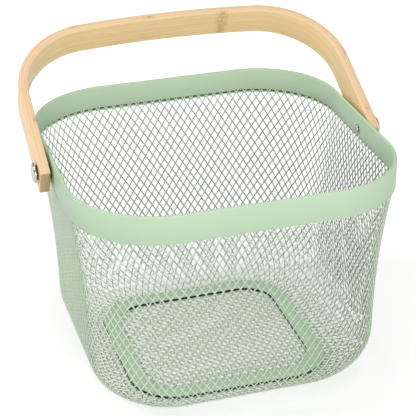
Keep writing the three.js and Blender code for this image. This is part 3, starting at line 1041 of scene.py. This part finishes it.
@dataclass
class Pivot:
    """Screw, washers and nut that join a leg of the handle to the rim."""

    form: TubForm
    side: Side
    shank: float = 2.0
    head: float = 7.75
    head_from: float = 133.7
    head_rise: float = 2.8
    nut: float = 3.4
    nut_from: float = 119.3
    nut_rise: float = 2.2
    steps: int = 48
    dome_steps: int = 8

    def turn_piece(self, section: list[tuple[float, float]]) -> bmesh.types.BMesh:
        """Spin an open or closed section about the pivot's axis.

        Args:
            section: Section as (radius, distance out from the middle of the basket) points in millimetres.

        Returns:
            The turned shape in metres, on this pivot's side.
        """
        mesh = bmesh.new()
        height = self.form.height - self.form.pivot_drop
        verts = [mesh.verts.new((out * MM, 0.0, (height + radius) * MM)) for radius, out in section]
        edges = [mesh.edges.new(pair) for pair in zip(verts, verts[1:])]
        bmesh.ops.spin(
            mesh,
            geom=verts + edges,
            cent=(0.0, 0.0, height * MM),
            axis=(1, 0, 0),
            angle=math.tau,
            steps=self.steps,
            use_merge=True,
        )
        bmesh.ops.remove_doubles(mesh, verts=mesh.verts[:], dist=0.005 * MM)
        if self.side is Side.LEFT:
            bmesh.ops.rotate(mesh, verts=mesh.verts[:], matrix=Matrix.Rotation(math.pi, 3, "Z"))
        bmesh.ops.recalc_face_normals(mesh, faces=mesh.faces[:])
        shade_smooth(mesh, 35.0)
        return mesh

    def dome(self, radius: float, base: float, rise: float) -> list[tuple[float, float]]:
        """Points of a low dome from its rim to its top on the axis."""
        points = []
        for step in range(self.dome_steps):
            angle = math.pi / 2 * step / self.dome_steps
            points.append((radius * math.cos(angle), base + rise * math.sin(angle)))
        points.append((0.0, base + rise))
        return points

    def build_screw(self) -> bpy.types.Object:
        """Build the screw with its low domed head and return it."""
        base = self.head_from
        section = [(0.0, self.nut_from - 1.6), (self.shank, self.nut_from - 1.6), (self.shank, base)]
        section += [(self.head - 0.4, base), (self.head, base + 0.3)]
        section += self.dome(self.head, base + 0.7, self.head_rise - 0.7)
        name = self.side.name.lower()
        screw = make_piece(f"screw_{name}", self.turn_piece(section), BRIGHT_STEEL, Body.BASKET)
        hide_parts(f"pivot_screw_{name}")
        return screw

    def build_nut(self) -> bpy.types.Object:
        """Build the domed nut inside the rim and return it."""
        base = self.nut_from
        bore = self.shank + 0.3
        section = [(0.0, base - 2.0), (bore, base - 2.0), (bore, base), (self.nut - 0.3, base)]
        section += [(self.nut, base - 0.3)]
        dome = self.dome(self.nut, base + 1.0, self.nut_rise - 1.0)
        section += [(radius, 2 * base - out) for radius, out in dome]
        name = self.side.name.lower()
        nut = make_piece(f"cap_nut_{name}", self.turn_piece(section), BRIGHT_STEEL, Body.BASKET)
        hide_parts(f"dome_nut_{name}")
        return nut

    def build_washer(
        self, piece: str, node: str, finish: CoatFinish, size: tuple[float, float, float]
    ) -> bpy.types.Object:
        """Build a flat washer with eased edges.

        Args:
            piece: Name of the piece, without its side.
            node: CAD node that it replaces, without its side.
            finish: Finish of the washer.
            size: Outer radius, and inner and outer face as distances from the middle of the basket.

        Returns:
            The washer.
        """
        radius, low, high = size
        bore, ease = self.shank + 0.3, 0.2
        section = [(bore, low), (radius - ease, low), (radius, low + ease), (radius, high - ease)]
        section += [(radius - ease, high), (bore, high), (bore, low)]
        name = self.side.name.lower()
        washer = make_piece(f"{piece}_{name}", self.turn_piece(section), finish, Body.BASKET)
        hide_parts(f"{node}_{name}")
        return washer

    def build(self) -> list[bpy.types.Object]:
        """Build the whole stack of one pivot and return its pieces."""
        # The head washer and the spacer wear painted shade tones.
        return [
            self.build_screw(),
            self.build_washer("washer", "head_washer", HEAD_WASHER_PAINTED_SHADE, (5.5, 132.4, 133.4)),
            self.build_washer("spacer", "spacer_washer", SPACER_PAINTED_SHADE, (6.0, 122.8, 124.3)),
            self.build_nut(),
        ]


@dataclass
class Studio:
    """Pale floor, soft light and the camera of the photograph."""

    azimuth: float = -16.72
    elevation: float = 27.19
    roll: float = -0.65
    distance: float = 1097.9
    target: tuple[float, float, float] = (-2.01, 0.47, 117.9)
    lens: float = 123.45
    lamps: list[tuple[str, tuple[float, float, float], float, float]] = field(
        default_factory=lambda: [
            ("front_lamp", (-0.1, -2.0, 0.7), 0.9, 23.0),
            ("left_lamp", (-1.7, 0.4, 1.1), 0.8, 12.5),
            ("top_lamp", (0.0, 0.0, 2.0), 1.8, 12.0),
        ]
    )

    def build_floor(self) -> None:
        """Lay a wide pale floor that shows white to the camera and keeps the object's shadow."""
        mesh = bmesh.new()
        bmesh.ops.create_grid(mesh, x_segments=1, y_segments=1, size=6.0)
        bmesh.ops.translate(mesh, verts=mesh.verts[:], vec=(0.0, 0.0, -0.0005))
        data = bpy.data.meshes.new("studio_floor")
        mesh.to_mesh(data)
        mesh.free()
        floor = bpy.data.objects.new("studio_floor", data)
        bpy.context.scene.collection.objects.link(floor)
        material = bpy.data.materials.new("studio_white")
        material.use_nodes = True
        sheet = NodeSheet(material.node_tree)
        shader = material.node_tree.nodes["Principled BSDF"]
        shader.inputs["Base Color"].default_value = (0.68, 0.68, 0.68, 1.0)
        shader.inputs["Roughness"].default_value = 0.9
        shader.inputs["Emission Color"].default_value = (1.0, 1.0, 1.0, 1.0)
        path = sheet.add("ShaderNodeLightPath")
        mirrored = sheet.maths("MAXIMUM", path.outputs["Is Glossy Ray"], path.outputs["Is Transmission Ray"])
        seen = sheet.maths("MAXIMUM", path.outputs["Is Camera Ray"], mirrored)
        place = sheet.add("ShaderNodeTexCoord")
        away = sheet.add("ShaderNodeVectorMath", operation="LENGTH")
        sheet.join(place.outputs["Object"], away.inputs[0])
        glow = sheet.ramp(away.outputs["Value"], 0.25, 1.2, 0.43, 0.95)
        sheet.join(sheet.maths("MULTIPLY", seen, glow), shader.inputs["Emission Strength"])
        data.materials.append(material)

    def light(self) -> None:
        """Set a soft white world and the studio lamps."""
        world = bpy.data.worlds.new("studio_world")
        world.use_nodes = True
        background = world.node_tree.nodes["Background"]
        background.inputs["Color"].default_value = (1.0, 1.0, 1.0, 1.0)
        background.inputs["Strength"].default_value = 0.4
        bpy.context.scene.world = world
        for name, place, size, power in self.lamps:
            data = bpy.data.lights.new(name, "AREA")
            data.shape = "DISK"
            data.size = size
            data.energy = power
            lamp = bpy.data.objects.new(name, data)
            lamp.location = place
            aim = Vector((0.0, 0.0, 0.1)) - Vector(place)
            lamp.rotation_euler = aim.to_track_quat("-Z", "Y").to_euler()
            bpy.context.scene.collection.objects.link(lamp)

    def set_camera(self) -> None:
        """Place the camera at the photograph's view."""
        azimuth, elevation, roll = (math.radians(v) for v in (self.azimuth, self.elevation, self.roll))
        level = Vector((math.sin(azimuth), -math.cos(azimuth), 0.0))
        back = level * math.cos(elevation) + Vector((0.0, 0.0, math.sin(elevation)))
        right = Vector((0.0, 0.0, 1.0)).cross(back).normalized()
        up = back.cross(right)
        right_rolled = right * math.cos(roll) + up * math.sin(roll)
        up_rolled = up * math.cos(roll) - right * math.sin(roll)
        place = (Vector(self.target) + back * self.distance) * MM
        turn = Matrix((right_rolled, up_rolled, back)).transposed().to_4x4()
        data = bpy.data.cameras.new("photo_camera")
        data.sensor_width = 36.0
        data.lens = self.lens
        data.clip_start = 0.05
        data.clip_end = 50.0
        camera = bpy.data.objects.new("photo_camera", data)
        camera.matrix_world = Matrix.Translation(place) @ turn
        bpy.context.scene.collection.objects.link(camera)
        bpy.context.scene.camera = camera

    def build(self) -> None:
        """Set up floor, light, camera and the plain view transform."""
        self.build_floor()
        self.light()
        self.set_camera()
        bpy.context.scene.view_settings.view_transform = "Standard"


def main() -> None:
    """Load the frame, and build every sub-assembly round it."""
    logging.basicConfig(level=logging.INFO, format="%(name)s: %(message)s")
    for item in list(bpy.data.objects):
        bpy.data.objects.remove(item)
    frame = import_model()
    form = TubForm()
    RimBand(form).build()
    BaseRing(form).build()
    wall_nodes = [name for name in frame["nodes"] if name.startswith("mesh_") and name != "mesh_floor"]
    net = DiamondMesh(form, wall_nodes)
    net.build_wall()
    net.build_floor()
    BambooHandle(form).build()
    for side in Side:
        Pivot(form, side).build()
    Studio().build()
    bpy.context.view_layer.update()


if __name__ == "__main__":
    main()
